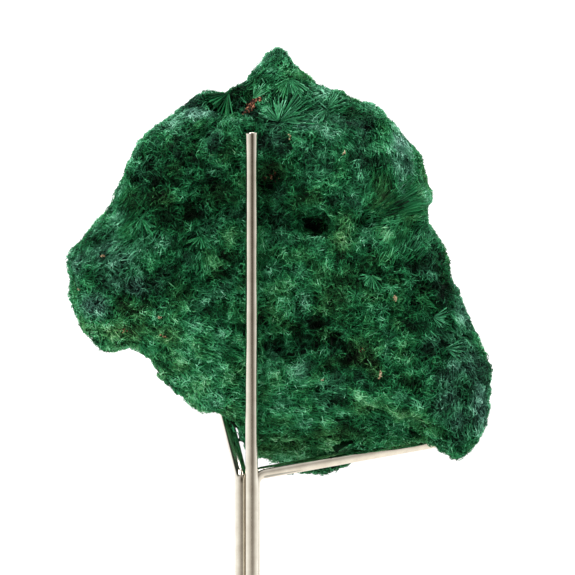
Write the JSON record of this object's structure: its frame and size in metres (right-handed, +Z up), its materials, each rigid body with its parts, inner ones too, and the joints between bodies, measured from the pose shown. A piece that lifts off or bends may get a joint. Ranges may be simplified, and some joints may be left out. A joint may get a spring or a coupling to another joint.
{
  "type": "malachite specimen on a wire stand",
  "caption": "Rugged hand-size lump of fibrous green malachite, leaning on an upright steel rod and cradled by bent rods that rise from a round foot.",
  "frame": {"origin": "centre of the round foot's underside, below the three upright rods", "axes": "+Z up along the upright rods, +Y from the support rod towards the specimen, +X to the right in the picture"},
  "size_m": [0.1037, 0.0886, 0.1444],
  "materials": {
    "fibrous_malachite": "matt, velvety fibres with a silky sheen",
    "rod_steel": "bright drawn wire",
    "base_steel": "satin, turned"
  },
  "bodies": {
    "root": {"malachite": "fibrous_malachite", "support_rod": "rod_steel", "left_arm": "rod_steel", "right_arm": "rod_steel", "base": "base_steel"}
  },
  "joints": []
}
